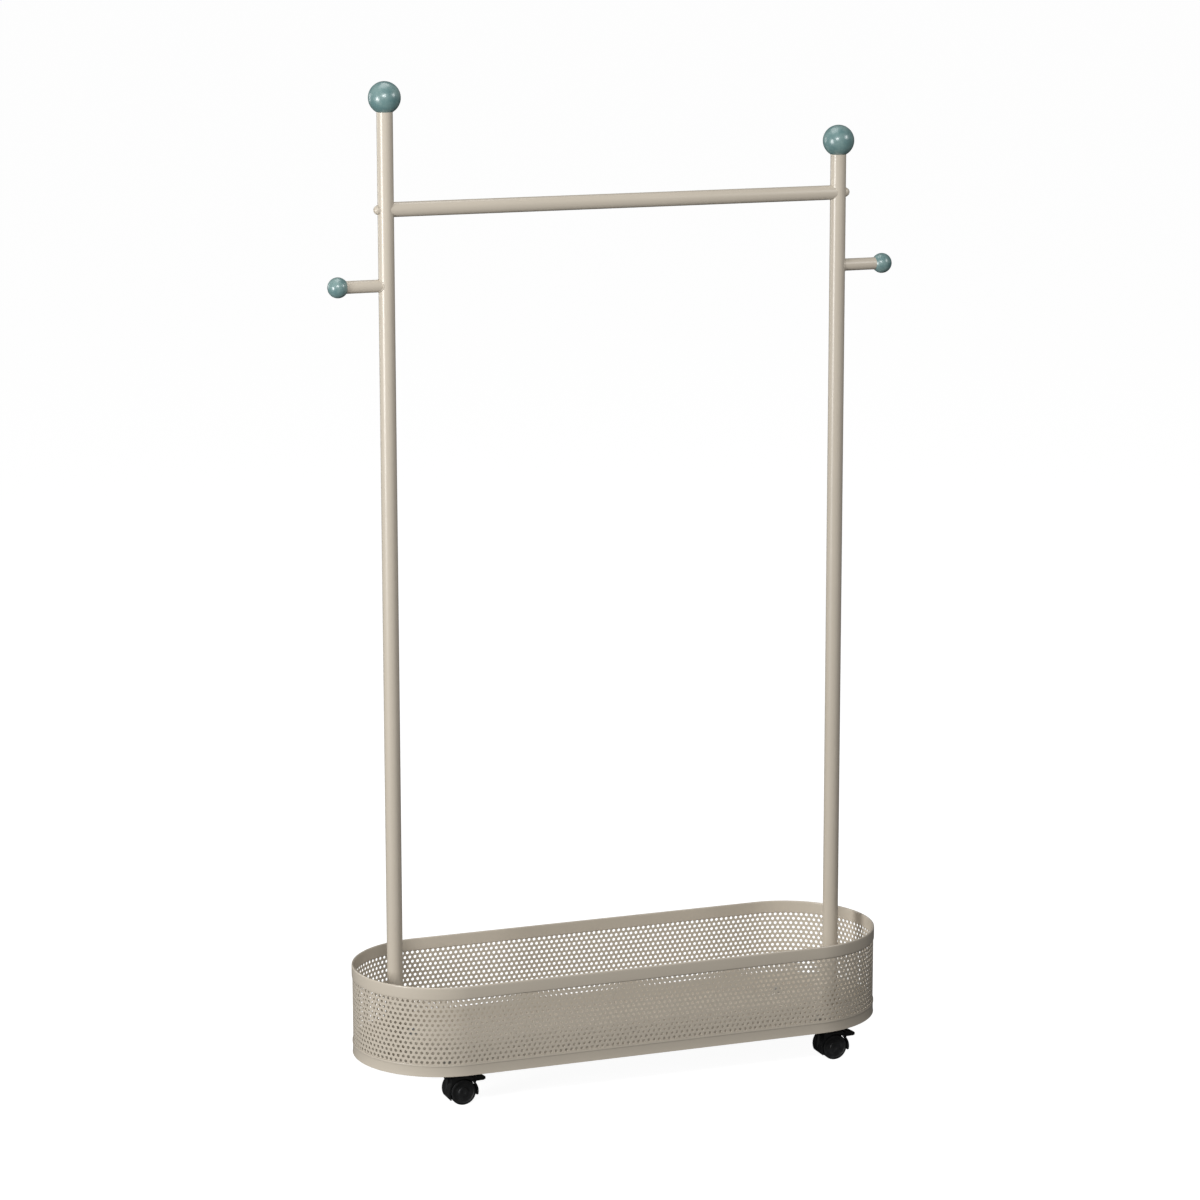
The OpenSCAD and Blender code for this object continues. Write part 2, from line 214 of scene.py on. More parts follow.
class Graph:
    """Adds nodes to a tree, each with its settings first and then its inputs."""

    def __init__(self, tree):
        self.tree = tree
        tree.nodes.clear()

    def node(self, kind, settings=None, inputs=None):
        made = self.tree.nodes.new(kind)
        for name, setting in (settings or {}).items():
            if name == "stops":
                self._set_stops(made.color_ramp, setting)
            else:
                setattr(made, name, setting)
        for key, given in (inputs or {}).items():
            for value in given if isinstance(given, list) else [given]:
                if isinstance(value, Value):
                    self.tree.links.new(value.socket, made.inputs[key])
                else:
                    made.inputs[key].default_value = value
        return [Value(self, socket) for socket in made.outputs]

    @staticmethod
    def _set_stops(ramp, stops):
        while len(ramp.elements) < len(stops):
            ramp.elements.new(1)
        for element, (place, shade) in zip(ramp.elements, stops):
            element.position = place
            element.color = (shade, shade, shade, 1)

    def split(self, vector):
        return self.node("ShaderNodeSeparateXYZ", {}, {0: vector})

    def join(self, x, y, z):
        return self.node("ShaderNodeCombineXYZ", {}, {0: x, 1: y, 2: z})[0]

    def mix_colour(self, factor, first, second):
        inputs = {0: factor, 6: first, 7: second}
        return self.node("ShaderNodeMix", {"data_type": "RGBA"}, inputs)[2]


# ---- finishes ----


def rgba(colour):
    return (*colour, 1)


def shader(name):
    """New material, its graph and the object's own coordinates."""
    made = bpy.data.materials.new(name)
    made.use_nodes = True
    graph = Graph(made.node_tree)
    place = graph.node("ShaderNodeTexCoord")[3]
    return made, graph, place


def finish_shader(graph, inputs, height=None, depth=0.0):
    """Ends a material in a Principled shader, with a bump from a height if one is given."""
    if height is not None:
        bump = {"Strength": 1.0, "Distance": depth, "Height": height}
        inputs = {**inputs, "Normal": graph.node("ShaderNodeBump", {}, bump)[0]}
    surface = graph.node("ShaderNodeBsdfPrincipled", {}, inputs)[0]
    graph.node("ShaderNodeOutputMaterial", {}, {"Surface": surface})


def noise(graph, place, grain, detail=2.0, roughness=0.5):
    """Even noise from 0 to 1 whose lumps are about grain metres across."""
    inputs = {"Vector": place, "Scale": 1 / grain, "Detail": detail, "Roughness": roughness}
    return graph.node("ShaderNodeTexNoise", {}, inputs)[0]


def powder_coat(finishes):
    made, graph, place = shader("frame_paint")
    drift = noise(graph, place, 160 * MM, 3)
    speck = noise(graph, place, 0.9 * MM, 1)
    peel = noise(graph, place, 1.6 * MM, 2)
    deep = Vector(finishes.paint) * 0.93
    pale = Vector(finishes.paint) * 1.05
    colour = graph.mix_colour(drift * 0.7 + speck * 0.3, rgba(deep), rgba(pale))
    inputs = {
        "Base Color": colour,
        "Roughness": 0.27 + peel * 0.05 + drift * 0.03,
    }
    finish_shader(graph, inputs, peel * 0.7 + speck * 0.3, 0.008 * MM)
    return made


def ball_lacquer(finishes):
    made, graph, place = shader("ball_gloss")
    cloud = noise(graph, place, 16 * MM, 4, 0.6)
    fleck = noise(graph, place, 1.8 * MM, 2)
    sharp = graph.node("ShaderNodeValToRGB", {"stops": [(0.38, 0.0), (0.66, 1.0)]}, {0: cloud})[0]
    mottle = graph.mix_colour(sharp, rgba(finishes.lacquer), rgba(finishes.lacquer_cloud))
    deep = rgba(Vector(finishes.lacquer) * 0.55)
    few = graph.node("ShaderNodeValToRGB", {"stops": [(0.60, 0.0), (0.72, 0.5)]}, {0: fleck})[0]
    inputs = {
        "Base Color": graph.mix_colour(few, mottle, deep),
        "Roughness": 0.30 + cloud * 0.08,
        "Coat Weight": 0.5,
        "Coat Roughness": 0.22,
    }
    finish_shader(graph, inputs, cloud * 0.8 + fleck * 0.2, 0.05 * MM)
    return made


def moulded_nylon(name, finishes, scuffed):
    """Black nylon. A scuffed one is duller and greyer in patches, as a tread is."""
    made, graph, place = shader(name)
    grain = noise(graph, place, 0.35 * MM, 2)
    patch = noise(graph, place, 7 * MM, 3)
    worn = rgba(Vector(finishes.nylon) * (4.0 if scuffed else 2.2))
    wear = graph.node("ShaderNodeValToRGB", {"stops": [(0.45, 0.0), (0.75, 1.0)]}, {0: patch})[0]
    amount = wear * (0.7 if scuffed else 0.35)
    inputs = {
        "Base Color": graph.mix_colour(amount, rgba(finishes.nylon), worn),
        "Roughness": (0.42 if scuffed else 0.34) + patch * 0.16,
    }
    finish_shader(graph, inputs, grain, 0.02 * MM)
    return made


def plated_zinc(finishes):
    made, graph, place = shader("zinc_steel")
    bloom = noise(graph, place, 5 * MM, 3)
    line = graph.node("ShaderNodeMapping", {}, {"Vector": place, "Scale": (1, 1, 14)})[0]
    turning = noise(graph, line, 2.5 * MM, 2)
    dull = rgba(Vector(finishes.zinc) * 0.72)
    inputs = {
        "Base Color": graph.mix_colour(bloom, dull, rgba(finishes.zinc)),
        "Metallic": 1.0,
        "Roughness": 0.26 + bloom * 0.16 + turning * 0.06,
    }
    finish_shader(graph, inputs, turning, 0.02 * MM)
    return made


FINISHES = {}


def make_finishes(finishes):
    FINISHES["frame_paint"] = powder_coat(finishes)
    FINISHES["ball_gloss"] = ball_lacquer(finishes)
    FINISHES["black_nylon"] = moulded_nylon("black_nylon", finishes, False)
    FINISHES["wheel_nylon"] = moulded_nylon("wheel_nylon", finishes, True)
    FINISHES["zinc_steel"] = plated_zinc(finishes)


def refinish(node, slot):
    """A CAD node keeps its shape and gets the finish of its slot."""
    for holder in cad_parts[node].material_slots:
        holder.material = FINISHES[slot]


# ---- pieces ----


def place_piece(name, mesh, slot, body, *nodes):
    """Adds a finished mesh as a piece that rides on a body and stands for CAD nodes."""
    piece = bpy.data.objects.new(name, mesh)
    bpy.context.scene.collection.objects.link(piece)
    mesh.materials.clear()
    mesh.materials.append(FINISHES[slot])
    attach(piece, body)
    if nodes:
        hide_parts(*nodes)
    return piece


def evaluated_mesh(name, mesh, add_modifiers):
    """The plain mesh that an object with this mesh and these modifiers becomes."""
    holder = bpy.data.objects.new(name, mesh)
    bpy.context.scene.collection.objects.link(holder)
    add_modifiers(holder)
    bpy.context.view_layer.update()
    graph = bpy.context.evaluated_depsgraph_get()
    result = bpy.data.meshes.new_from_object(holder.evaluated_get(graph))
    bpy.data.objects.remove(holder)
    result.name = name
    return result


def grown_mesh(name, tree, sizes):
    """The plain mesh that a Geometry Nodes tree makes with these sizes."""

    def add_tree(holder):
        modifier = holder.modifiers.new("Grow", "NODES")
        modifier.node_group = tree
        for item in tree.interface.items_tree:
            if item.in_out == "INPUT" and item.name in sizes:
                modifier[item.identifier] = sizes[item.name]

    return evaluated_mesh(name, bpy.data.meshes.new(name), add_tree)


def smooth_by_angle(mesh, degrees):
    """Shades smooth, with an edge kept sharp where it turns by more than this."""
    edit = bmesh.new()
    edit.from_mesh(mesh)
    limit = math.radians(degrees)
    for edge in edit.edges:
        edge.smooth = edge.is_manifold and edge.calc_face_angle(0) < limit
    for face in edit.faces:
        face.smooth = True
    edit.to_mesh(mesh)
    edit.free()


def eased_copy(node, name, radius, slot, body):
    """Stands for a CAD node with the same shape, its sharp edges rounded off."""
    edit = bmesh.new()
    edit.from_mesh(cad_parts[node].data)
    bmesh.ops.remove_doubles(edit, verts=edit.verts, dist=0.002 * MM)
    bmesh.ops.dissolve_limit(
        edit, angle_limit=math.radians(0.5), verts=edit.verts, edges=edit.edges)
    mesh = bpy.data.meshes.new(name)
    edit.to_mesh(mesh)
    edit.free()
    smooth_by_angle(mesh, degrees=30)

    def add_bevel(holder):
        bevel = holder.modifiers.new("Ease", "BEVEL")
        bevel.width = radius
        bevel.segments = 2
        bevel.limit_method = "ANGLE"
        bevel.angle_limit = math.radians(CREASE)
        bevel.harden_normals = True

    return place_piece(name, evaluated_mesh(name, mesh, add_bevel), slot, body, node)


# ---- trees that grow the basket and the welds ----


def new_tree(name, sizes):
    """Empty Geometry Nodes tree with these named inputs, and its inputs by name."""
    tree = bpy.data.node_groups.new(name, "GeometryNodeTree")
    kinds = {int: "NodeSocketInt", float: "NodeSocketFloat"}
    for size, kind in sizes.items():
        tree.interface.new_socket(name=size, in_out="INPUT", socket_type=kinds[kind])
    tree.interface.new_socket(name="Mesh", in_out="OUTPUT", socket_type="NodeSocketGeometry")
    graph = Graph(tree)
    outputs = graph.node("NodeGroupInput")
    return tree, graph, dict(zip(sizes, outputs))


def moved(graph, geometry, **places):
    """Moves the geometry by an Offset or to a Position."""
    return graph.node("GeometryNodeSetPosition", {}, {"Geometry": geometry, **places})[0]


def merged(graph, geometry):
    """Joins the points that lie in one place."""
    inputs = {"Geometry": geometry, "Distance": MERGE}
    return graph.node("GeometryNodeMergeByDistance", {}, inputs)[0]


def swept(graph, line, outline):
    """Sweeps an outline along a line."""
    inputs = {"Curve": line, "Profile Curve": outline}
    return graph.node("GeometryNodeCurveToMesh", {}, inputs)[0]


def end_tree(graph, geometry, finish):
    """Welds, shades and paints what the tree has made, and hands it out."""
    whole = graph.node("GeometryNodeRealizeInstances", {}, {0: geometry})[0]
    welded = merged(graph, whole)
    turn = graph.node("GeometryNodeInputMeshEdgeAngle")[0]
    creased = graph.node(
        "GeometryNodeStoreNamedAttribute", {"data_type": "BOOLEAN", "domain": "EDGE"},
        {"Geometry": welded, "Name": "sharp_edge", "Value": turn > math.radians(CREASE)})[0]
    smooth = graph.node("GeometryNodeSetShadeSmooth", {}, {"Geometry": creased})[0]
    painted = graph.node("GeometryNodeSetMaterial", {}, {"Geometry": smooth, "Material": finish})[0]
    graph.node("NodeGroupOutput", {}, {0: painted})


def wrap_round(graph, geometry, straight, radius):
    """Bends a strip that lies flat round the basket.

    In the strip x is the way along the mid line, from the middle of the left end past the
    front, y is the height, and z is how far out of the mid line a point lies.
    """
    along, height, out = graph.split(graph.node("GeometryNodeInputPosition")[0])
    quarter = radius * (math.pi / 2)
    first = along.at_most(quarter)
    front = (along - quarter).at_least(0.0).at_most(straight)
    right = (along - quarter - straight).at_least(0.0).at_most(quarter * 2)
    rear = (along - quarter * 3 - straight).at_least(0.0).at_most(straight)
    last = (along - quarter * 3 - straight * 2).at_least(0.0)
    turn = (first + right + last) / radius - math.pi
    reach = radius + out
    x = reach * turn.apply("COSINE") + front - rear - straight / 2
    y = reach * turn.apply("SINE")
    return moved(graph, geometry, Position=graph.join(x, y, height))


def perforated_tree(finish):
    """Half of the perforated wall: a tile with one hole, set out in staggered rows."""
    tree, graph, size = new_tree("Perforated wall", {
        "Start": float, "Holes": int, "Rows": int, "Sides": int, "Pitch": float,
        "Row spacing": float, "Hole radius": float, "Sheet": float, "Foot": float,
        "First row": float, "Top": float, "Straight": float, "Radius": float})
    pitch = size["Pitch"]
    rise = size["Row spacing"]

    edge = graph.node(
        "GeometryNodeCurvePrimitiveQuadrilateral", {}, {"Width": pitch, "Height": rise})[0]
    edge = graph.node("GeometryNodeSubdivideCurve", {}, {0: edge, "Cuts": 1})[0]
    hole = graph.node(
        "GeometryNodeCurvePrimitiveCircle", {},
        {"Resolution": size["Sides"], "Radius": size["Hole radius"]})[0]
    both = graph.node("GeometryNodeJoinGeometry", {}, {0: [edge, hole]})[0]
    tile = graph.node("GeometryNodeFillCurve", {}, {0: both})[0]

    grid = graph.node("GeometryNodeMeshGrid", {}, {
        "Size X": (size["Holes"] - 1) * pitch, "Size Y": (size["Rows"] - 1) * rise,
        "Vertices X": size["Holes"], "Vertices Y": size["Rows"]})[0]
    row = graph.node("GeometryNodeInputIndex")[0] % size["Rows"]
    centre = size["Start"] + size["Holes"] * pitch / 2
    grid = moved(graph, grid, Offset=graph.join(
        centre + (row % 2) * pitch / 2, size["First row"] + (size["Rows"] - 1) * rise / 2, 0.0))
    tiles = graph.node("GeometryNodeInstanceOnPoints", {}, {"Points": grid, "Instance": tile})[0]
    sheet = [graph.node("GeometryNodeRealizeInstances", {}, {0: tiles})[0]]

    # The plain strips under the first row and over the last, each in line with its row
    holes_low = size["First row"] - rise / 2
    holes_high = size["First row"] + (size["Rows"] - 0.5) * rise
    top_stagger = (size["Rows"] - 1) % 2 * pitch / 2
    strips = ((size["Foot"], holes_low, 0.0), (holes_high, size["Top"], top_stagger))
    for low, high, stagger in strips:
        plain = graph.node("GeometryNodeMeshGrid", {}, {
            "Size X": size["Holes"] * pitch, "Size Y": high - low,
            "Vertices X": size["Holes"] * 2 + 1, "Vertices Y": 2})[0]
        sheet.append(moved(graph, plain, Offset=graph.join(
            centre + stagger, (low + high) / 2, 0.0)))

    flat = merged(graph, graph.node("GeometryNodeJoinGeometry", {}, {0: sheet})[0])
    flat = moved(graph, flat, Offset=graph.join(0.0, 0.0, size["Sheet"] * -0.5))
    back = graph.node("GeometryNodeFlipFaces", {}, {0: flat})[0]
    front = graph.node(
        "GeometryNodeExtrudeMesh", {"mode": "FACES"},
        {"Mesh": flat, "Offset Scale": size["Sheet"], "Individual": False})[0]
    solid = graph.node("GeometryNodeJoinGeometry", {}, {0: [back, front]})[0]
    end_tree(graph, wrap_round(graph, solid, size["Straight"], size["Radius"]), finish)
    return tree


def band_tree(finish):
    """A band with rolled edges that runs once round the basket."""
    tree, graph, size = new_tree("Band", {
        "Middle": float, "Height": float, "Thickness": float, "Top edge": float,
        "Bottom edge": float, "Crown": float, "Power": float, "Steps": int,
        "Straight": float, "Radius": float})
    outline = graph.node(
        "GeometryNodeCurvePrimitiveQuadrilateral", {},
        {"Width": size["Height"], "Height": size["Thickness"]})[0]
    down, inward = graph.split(graph.node("GeometryNodeInputPosition")[0])[:2]
    is_low = down > 0.0
    edge = is_low * size["Bottom edge"] + (1 - is_low) * size["Top edge"]
    outline = graph.node(
        "GeometryNodeFilletCurve", {"mode": "POLY"},
        {"Curve": outline, "Count": 4, "Radius": edge})[0]
    outline = graph.node("GeometryNodeSubdivideCurve", {}, {0: outline, "Cuts": 7})[0]
    level = (down / (size["Height"] / 2)).apply("ABSOLUTE") ** size["Power"]
    belly = (0 - inward > 0.0) * level * size["Crown"]
    outline = moved(graph, outline, Offset=graph.join(0.0, belly, 0.0))

    total = size["Straight"] * 2 + size["Radius"] * (2 * math.pi)
    line = graph.node("GeometryNodeMeshLine", {}, {
        "Count": size["Steps"] + 1, "Offset": graph.join(total / size["Steps"], 0.0, 0.0)})[0]
    line = graph.node("GeometryNodeMeshToCurve", {}, {0: line})[0]
    line = graph.node("GeometryNodeSetCurveNormal", {"mode": "Z_UP"}, {0: line})[0]
    band = moved(graph, swept(graph, line, outline), Offset=graph.join(0.0, size["Middle"], 0.0))
    end_tree(graph, wrap_round(graph, band, size["Straight"], size["Radius"]), finish)
    return tree


def weld_tree(finish):
    """A weld bead on the line where a level peg meets the round of an upright."""
    tree, graph, size = new_tree("Weld bead", {
        "Upright radius": float, "Peg radius": float, "Bead": float, "X": float, "Z": float,
        "Side": float})
    ring = graph.node(
        "GeometryNodeCurvePrimitiveCircle", {}, {"Resolution": 64, "Radius": size["Peg radius"]})[0]
    across, up = graph.split(graph.node("GeometryNodeInputPosition")[0])[:2]
    reach = (size["Upright radius"] * size["Upright radius"] - across * across).apply("SQRT")
    saddle = graph.join(size["X"] + size["Side"] * reach, across, size["Z"] + up)
    ring = moved(graph, ring, Position=saddle)
    bead = graph.node(
        "GeometryNodeCurvePrimitiveCircle", {}, {"Resolution": 12, "Radius": size["Bead"]})[0]
    end_tree(graph, swept(graph, ring, bead), finish)
    return tree


# ---- turned shapes ----


def round_corners(corners):
    """Outline with arcs at its corners. Each corner is (across, along, radius)."""
    points = []
    last = len(corners) - 1
    for index, (across, along, radius) in enumerate(corners):
        here = Vector((across, along))
        if radius == 0 or index in (0, last):
            points.append(here)
            continue
        back = Vector(corners[index - 1][:2]) - here
        ahead = Vector(corners[index + 1][:2]) - here
        half = back.angle(ahead) / 2
        cut = radius / math.tan(half)
        back.normalize()
        ahead.normalize()
        centre = here + (back + ahead).normalized() * radius / math.sin(half)
        start = here + back * cut - centre
        sweep = start.angle_signed(here + ahead * cut - centre)
        steps = max(2, math.ceil(abs(sweep) / math.radians(18)))
        for step in range(steps + 1):
            points.append(centre + Matrix.Rotation(-sweep * step / steps, 2) @ start)
    return points


def turn_on_y(name, profile, x, z, start, side, steps=72):
    """Solid turned about a line along Y. The profile is (radius, way along), axis to axis."""
    edit = bmesh.new()
    rings = []
    for radius, along in profile:
        y = start + side * along
        if radius < 0.001 * MM:
            rings.append([edit.verts.new((x, y, z))])
            continue
        ring = []
        for step in range(steps):
            turn = 2 * math.pi * step / steps
            spot = (x + radius * math.cos(turn), y, z + radius * math.sin(turn))
            ring.append(edit.verts.new(spot))
        rings.append(ring)
    for one, other in zip(rings, rings[1:]):
        for step in range(steps):
            after = (step + 1) % steps
            loop = [one[step % len(one)], one[after % len(one)],
                    other[after % len(other)], other[step % len(other)]]
            edit.faces.new(dict.fromkeys(loop))
    bmesh.ops.recalc_face_normals(edit, faces=edit.faces)
    mesh = bpy.data.meshes.new(name)
    edit.to_mesh(mesh)
    edit.free()
    smooth_by_angle(mesh, degrees=32)
    return mesh


def wheel_profile(radius, face, bore):
    """Wheel with a crowned tread, a stepped outer face and a cap over the axle's end.

    The way along starts at the inner side and ends at the outer face.
    """
    bore_end = face * 0.87
    return round_corners([
        (0, bore_end, 0),
        (bore, bore_end, 0),
        (bore, 0, 0.3 * MM),
        (radius * 0.55, 0, 0.2 * MM),
        (radius * 0.57, 0.6 * MM, 0.2 * MM),
        (radius * 0.86, 0.6 * MM, 0.2 * MM),
        (radius * 0.88, 0, 0.2 * MM),
        (radius, 0, 1.5 * MM),
        (radius, face * 0.5, 0),
        (radius, face, 2.6 * MM),
        (radius * 0.80, face, 0.3 * MM),
        (radius * 0.775, face - 0.8 * MM, 0.3 * MM),
        (radius * 0.40, face - 1.1 * MM, 0.4 * MM),
        (radius * 0.37, face - 0.1 * MM, 0.4 * MM),
        (radius * 0.16, face - 0.1 * MM, 0.2 * MM),
        (radius * 0.14, face - 0.4 * MM, 0.2 * MM),
        (0, face - 0.4 * MM, 0),
    ])


def rib_tree(finish):
    """Grip ribs laid across a brake lever's tongue."""
    tree, graph, size = new_tree("Grip ribs", {
        "Ribs": int, "Gap": float, "Length": float, "Rib radius": float, "X": float, "Y": float,
        "Z": float, "Slope": float})
    line = graph.node("GeometryNodeMeshLine", {}, {
        "Count": size["Ribs"], "Start Location": graph.join(size["X"], size["Y"], size["Z"]),
        "Offset": graph.join(size["Gap"], 0.0, size["Gap"] * size["Slope"])})[0]
    rib = graph.node("GeometryNodeMeshCylinder", {"fill_type": "TRIANGLE_FAN"}, {
        "Vertices": 12, "Radius": size["Rib radius"], "Depth": size["Length"]})[0]
    level = graph.join(math.pi / 2, 0.0, 0.0)
    ribs = graph.node(
        "GeometryNodeInstanceOnPoints", {}, {"Points": line, "Instance": rib, "Rotation": level})[0]
    end_tree(graph, ribs, finish)
    return tree


# ---- operators ----


class RACK_OT_finishes(bpy.types.Operator):
    """Makes the rack's finishes"""
    bl_idname = "rack.finishes"
    bl_label = "Finishes"

    def execute(self, context):
        make_finishes(context.scene.rack_finishes)
        return {"FINISHED"}


class RACK_OT_perforated_wall(bpy.types.Operator):
    """Grows the basket's perforated wall in a front and a rear half"""
    bl_idname = "rack.perforated_wall"
    bl_label = "Perforated wall"

    def execute(self, context):
        basket = context.scene.rack_basket
        radius = WALL_HIGH.y - basket.sheet / 2
        half = STRAIGHT + math.pi * radius
        rows_high = basket.hole_rows * basket.row_gap
        between = (BAND_HIGH.z + RIM_LOW.z) / 2
        tree = perforated_tree(FINISHES["frame_paint"])
        for number, name in enumerate(("perforated_front", "perforated_rear")):
            mesh = grown_mesh(name, tree, {
                "Start": half * number, "Holes": basket.holes_round, "Rows": basket.hole_rows,
                "Sides": basket.hole_sides, "Pitch": half / basket.holes_round,
                "Row spacing": basket.row_gap, "Hole radius": basket.hole_d / 2,
                "Sheet": basket.sheet, "Foot": WALL_LOW.z,
                "First row": between - rows_high / 2 + basket.row_gap / 2,
                "Top": WALL_HIGH.z, "Straight": STRAIGHT, "Radius": radius})
            place_piece(name, mesh, "frame_paint", "root", "wall_sides", "wall_ends")
        return {"FINISHED"}


class RACK_OT_bands(bpy.types.Operator):
    """Sweeps the lower band and the rim round the basket, and paints the floor plate"""
    bl_idname = "rack.bands"
    bl_label = "Bands"

    def execute(self, context):
        basket = context.scene.rack_basket
        tree = band_tree(FINISHES["frame_paint"])
        band_t = BAND_HIGH.y - WALL_HIGH.y
        rim_t = band_t * 2 + basket.sheet
        rim_inside = RIM_HIGH.y - rim_t
        hollow = band_t * 0.55
        bead_low = BAND_HIGH.z - basket.bead
        # Name, node, bottom, top, inner side, thickness, crown and how square the crown is.
        # The lower band's face is hollow between its edges, so its crown is negative.
        bands = (
            ("lower_band", "lower_band", BAND_LOW.z, BAND_HIGH.z,
             WALL_HIGH.y, band_t - hollow, -hollow, 3.0),
            ("band_bead", "lower_band", bead_low, BAND_HIGH.z,
             WALL_HIGH.y, band_t, basket.crown, 2.0),
            ("rim", "rim", RIM_LOW.z, RIM_HIGH.z,
             rim_inside, rim_t, basket.crown * 0.3, 2.0),
        )
        for name, node, low, high, inside, thick, crown, power in bands:
            widest_edge = thick * 0.45
            mesh = grown_mesh(name, tree, {
                "Middle": (low + high) / 2, "Height": high - low, "Thickness": thick,
                "Top edge": widest_edge, "Bottom edge": min(basket.hem, widest_edge),
                "Crown": crown, "Power": power, "Steps": BAND_STEPS, "Straight": STRAIGHT,
                "Radius": inside + thick / 2})
            place_piece(name, mesh, "frame_paint", "root", f"{node}_sides", f"{node}_ends")
        refinish("floor_plate", "frame_paint")
        return {"FINISHED"}


class RACK_OT_tubes(bpy.types.Operator):
    """Paints the uprights, the rail and the pegs, and lays the pegs' weld beads"""
    bl_idname = "rack.tubes"
    bl_label = "Tubes"

    def execute(self, context):
        mouldings = context.scene.rack_mouldings
        tree = weld_tree(FINISHES["frame_paint"])
        for side, name in ((-1, "left"), (1, "right")):
            refinish(f"{name}_upright", "frame_paint")
            refinish(f"{name}_peg", "frame_paint")
            low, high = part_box(f"{name}_upright")
            peg_low, peg_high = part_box(f"{name}_peg")
            mesh = grown_mesh(f"{name}_peg_weld", tree, {
                "Upright radius": high.y, "Peg radius": peg_high.y, "Bead": mouldings.weld,
                "X": (low.x + high.x) / 2, "Z": (peg_low.z + peg_high.z) / 2, "Side": float(side)})
            place_piece(f"{name}_peg_weld", mesh, "frame_paint", "root")
        refinish("hanging_rail", "frame_paint")
        return {"FINISHED"}


class RACK_OT_balls(bpy.types.Operator):
    """Lacquers the balls on the uprights and the pegs"""
    bl_idname = "rack.balls"
    bl_label = "Balls"

    def execute(self, context):
        for name in ("left_top_ball", "right_top_ball", "left_peg_ball", "right_peg_ball"):
            refinish(name, "ball_gloss")
        return {"FINISHED"}


class RACK_OT_fasteners(bpy.types.Operator):
    """Eases the edges of the bolts, nuts and washers, and plates the hidden ones"""
    bl_idname = "rack.fasteners"
    bl_label = "Fasteners"

    def execute(self, context):
        edge = context.scene.rack_mouldings.turned_edge
        for node in ("rail_bolts", "saddle_washers"):
            eased_copy(node, f"{node}_eased", edge, "frame_paint", "root")
        for node in ("foot_bolts", "foot_washers", "stem_nuts", "stem_washers"):
            eased_copy(node, f"{node}_eased", edge, "zinc_steel", "root")
        for node in ("foot_plugs", "rail_plugs", "peg_plugs", "peg_studs", "top_plugs",
                     "top_studs", "grip_rings"):
            refinish(node, "zinc_steel")
        return {"FINISHED"}


class RACK_OT_casters(bpy.types.Operator):
    """Builds the four casters: hood, wheels, ribbed brake lever, stem and pins"""
    bl_idname = "rack.casters"
    bl_label = "Casters"

    def execute(self, context):
        mouldings = context.scene.rack_mouldings
        ribs = rib_tree(FINISHES["black_nylon"])
        for corner in CORNERS:
            eased_copy(
                f"{corner}_hood", f"{corner}_hood_moulding", mouldings.soft_edge,
                "black_nylon", f"{corner}_caster")
            eased_copy(
                f"{corner}_stem", f"{corner}_stem_turned", mouldings.turned_edge,
                "zinc_steel", "root")
            eased_copy(
                f"{corner}_brake_lever", f"{corner}_lever_moulding", mouldings.soft_edge,
                "black_nylon", f"{corner}_brake_lever")
            self.add_ribs(corner, ribs, mouldings)
            for wheel in ("outer_wheel", "inner_wheel"):
                self.add_wheel(corner, f"{corner}_{wheel}")
            refinish(f"{corner}_axle", "zinc_steel")
            refinish(f"{corner}_lever_pin", "black_nylon")
        return {"FINISHED"}

    def add_wheel(self, corner, node):
        low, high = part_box(node)
        hood_low, hood_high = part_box(f"{corner}_hood")
        axle_low, axle_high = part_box(f"{corner}_axle")
        middle = (hood_low.y + hood_high.y) / 2
        side = 1 if low.y > middle else -1
        start = low.y if side > 0 else high.y
        radius = (high.z - low.z) / 2
        running_gap = 0.05 * MM
        bore = (axle_high.z - axle_low.z) / 2 + running_gap
        profile = wheel_profile(radius, high.y - low.y, bore)
        mesh = turn_on_y(
            f"{node}_turned", profile, (low.x + high.x) / 2, (low.z + high.z) / 2, start, side)
        place_piece(f"{node}_turned", mesh, "wheel_nylon", node, node)

    def add_ribs(self, corner, tree, mouldings):
        """Ribs from a little in front of the lever's pin out to its tip, down its slope."""
        low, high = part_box(f"{corner}_brake_lever")
        pin_low, pin_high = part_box(f"{corner}_lever_pin")
        pin_x = (pin_low.x + pin_high.x) / 2
        pin_z = (pin_low.z + pin_high.z) / 2
        gap = 1.7 * MM
        first = 6 * MM
        slope = -0.085
        top = pin_z + 3.2 * MM
        name = f"{corner}_lever_ribs"
        mesh = grown_mesh(name, tree, {
            "Ribs": mouldings.lever_ribs, "Gap": gap, "Length": (high.y - low.y) * 0.72,
            "Rib radius": 0.35 * MM, "X": pin_x + first, "Y": (low.y + high.y) / 2,
            "Z": top + first * slope, "Slope": slope})
        place_piece(name, mesh, "black_nylon", f"{corner}_brake_lever")


